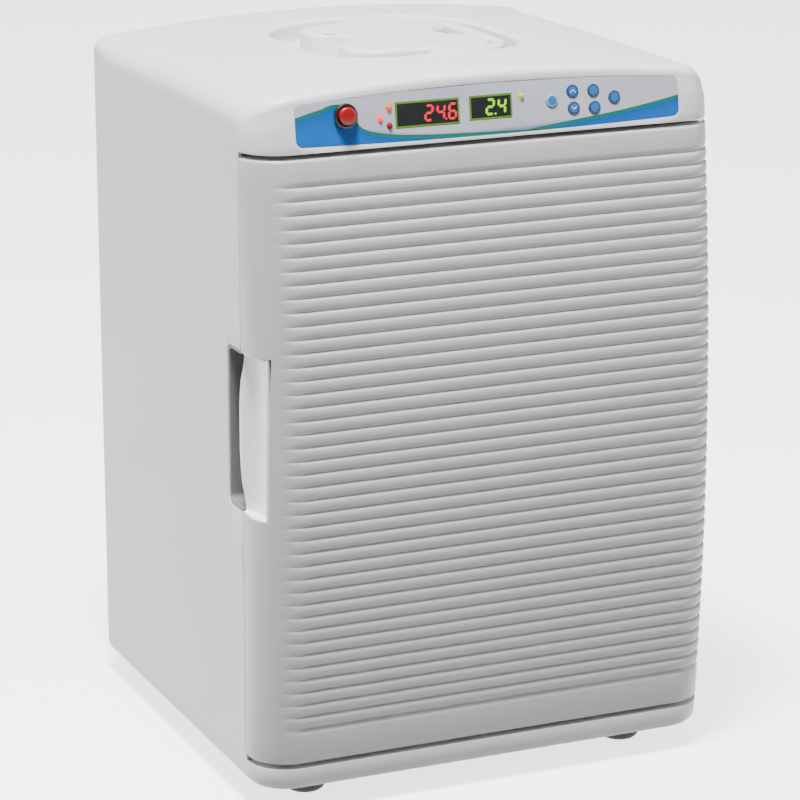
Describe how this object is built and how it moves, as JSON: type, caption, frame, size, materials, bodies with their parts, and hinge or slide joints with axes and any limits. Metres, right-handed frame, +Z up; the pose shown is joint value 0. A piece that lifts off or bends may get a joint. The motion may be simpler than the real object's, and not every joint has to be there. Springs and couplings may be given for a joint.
{
  "type": "benchtop thermoelectric incubator",
  "caption": "Benchtop heated and cooled incubator with a ribbed front door, a digital control fascia above it, a recessed door grip and a folding carry handle in its top.",
  "frame": {"origin": "on the floor plane below the middle of the cabinet, at the bottom centre of its bounding box", "axes": "+Z up; the door faces -Y; +X is the hinge side of the door"},
  "size_m": [0.33, 0.328, 0.483],
  "materials": {
    "cabinet_abs": "moulded ABS, satin",
    "door_abs": "moulded ABS, satin",
    "grip_abs": "moulded ABS, polished",
    "pocket_abs": "moulded ABS, matt grey",
    "liner_plastic": "thermoformed HIPS",
    "foam": "polyurethane foam",
    "foot_rubber": "moulded rubber",
    "gasket_rubber": "extruded magnetic gasket",
    "steel": "zinc plated or stainless",
    "aluminium": "extruded",
    "painted_steel": "powder coated",
    "black_plastic": "moulded",
    "red_plastic": "moulded",
    "overlay_film": "printed polyester film",
    "display_window": "smoked window",
    "key_blue": "silicone and film",
    "key_pale": "silicone and film",
    "lens_orange": "LED lens",
    "lens_red": "LED lens",
    "lens_green": "LED lens",
    "circuit_board": "FR4 board",
    "ceramic": "alumina"
  },
  "bodies": {
    "cabinet": {"cabinet_shell": "cabinet_abs", "foot_front_left": "foot_rubber", "foot_front_right": "foot_rubber", "foot_rear_left": "foot_rubber", "foot_rear_right": "foot_rubber", "rear_panel": "painted_steel", "fan_guard": "steel", "front_frame": "liner_plastic", "handle_tray": "cabinet_abs", "exhaust_fan_frame": "black_plastic", "hot_side_heatsink": "aluminium", "peltier_module": "ceramic", "cold_side_heatsink": "aluminium", "chamber_fan_frame": "black_plastic", "chamber_fan_cover": "liner_plastic", "chamber_liner": "liner_plastic", "cabinet_insulation": "foam", "shelf_rack_left": "liner_plastic", "shelf_rack_right": "liner_plastic", "shelf_lower": "steel", "shelf_upper": "steel", "temperature_probe": "steel", "control_board": "circuit_board", "display_board": "circuit_board", "power_supply": "aluminium", "power_inlet": "black_plastic", "fascia_overlay": "overlay_film", "power_button_bezel": "black_plastic", "temperature_display": "display_window", "timer_display": "display_window", "led_heat": "lens_orange", "led_power": "lens_red", "led_cool": "lens_red", "led_timer": "lens_green", "handle_pin_front": "steel", "handle_pin_rear": "steel", "hinge_bracket_upper": "steel", "hinge_bracket_lower": "steel", "hinge_pin_upper": "steel", "hinge_pin_lower": "steel", "grip_pocket": "pocket_abs", "rear_screw_1": "steel", "rear_screw_2": "steel", "rear_screw_3": "steel", "rear_screw_4": "steel"},
    "door": {"door_outer_panel": "door_abs", "door_grip_plate": "grip_abs", "door_inner_liner": "liner_plastic", "door_insulation": "foam", "door_gasket": "gasket_rubber"},
    "handle": {"carry_handle": "cabinet_abs"},
    "power_button": {"power_button": "red_plastic"},
    "chamber_fan": {"chamber_fan_rotor": "black_plastic"},
    "exhaust_fan": {"exhaust_fan_rotor": "black_plastic"},
    "key_select": {"key_select": "key_pale"},
    "key_up": {"key_up": "key_blue"},
    "key_down": {"key_down": "key_blue"},
    "key_program": {"key_program": "key_blue"},
    "key_light": {"key_light": "key_blue"},
    "key_start": {"key_start": "key_blue"}
  },
  "joints": [
    {"name": "door_hinge", "type": "hinge", "parent": "cabinet", "child": "door", "pos_m": [0.155, -0.138, 0.236], "axis": [0, 0, 1], "range_deg": [0, 120]},
    {"name": "carry_handle_hinge", "type": "hinge", "parent": "cabinet", "child": "handle", "pos_m": [0, 0.009, 0.4735], "axis": [0, -1, 0], "range_deg": [0, 90]},
    {"name": "power_button_press", "type": "slide", "parent": "cabinet", "child": "power_button", "axis": [0, 0.9908, -0.1352], "range_m": [0, 0.0025], "stiffness_N_per_m": 600},
    {"name": "chamber_fan_spin", "type": "hinge", "parent": "cabinet", "child": "chamber_fan", "pos_m": [0, 0.058, 0.248], "axis": [0, 1, 0], "continuous": true},
    {"name": "exhaust_fan_spin", "type": "hinge", "parent": "cabinet", "child": "exhaust_fan", "pos_m": [0, 0.145, 0.248], "axis": [0, 1, 0], "continuous": true},
    {"name": "key_select_press", "type": "slide", "parent": "cabinet", "child": "key_select", "axis": [0, 0.9908, -0.1352], "range_m": [0, 0.0008], "stiffness_N_per_m": 500},
    {"name": "key_up_press", "type": "slide", "parent": "cabinet", "child": "key_up", "axis": [0, 0.9908, -0.1352], "range_m": [0, 0.0008], "stiffness_N_per_m": 500},
    {"name": "key_down_press", "type": "slide", "parent": "cabinet", "child": "key_down", "axis": [0, 0.9908, -0.1352], "range_m": [0, 0.0008], "stiffness_N_per_m": 500},
    {"name": "key_program_press", "type": "slide", "parent": "cabinet", "child": "key_program", "axis": [0, 0.9908, -0.1352], "range_m": [0, 0.0008], "stiffness_N_per_m": 500},
    {"name": "key_light_press", "type": "slide", "parent": "cabinet", "child": "key_light", "axis": [0, 0.9908, -0.1352], "range_m": [0, 0.0008], "stiffness_N_per_m": 500},
    {"name": "key_start_press", "type": "slide", "parent": "cabinet", "child": "key_start", "axis": [0, 0.9908, -0.1352], "range_m": [0, 0.0008], "stiffness_N_per_m": 500}
  ]
}
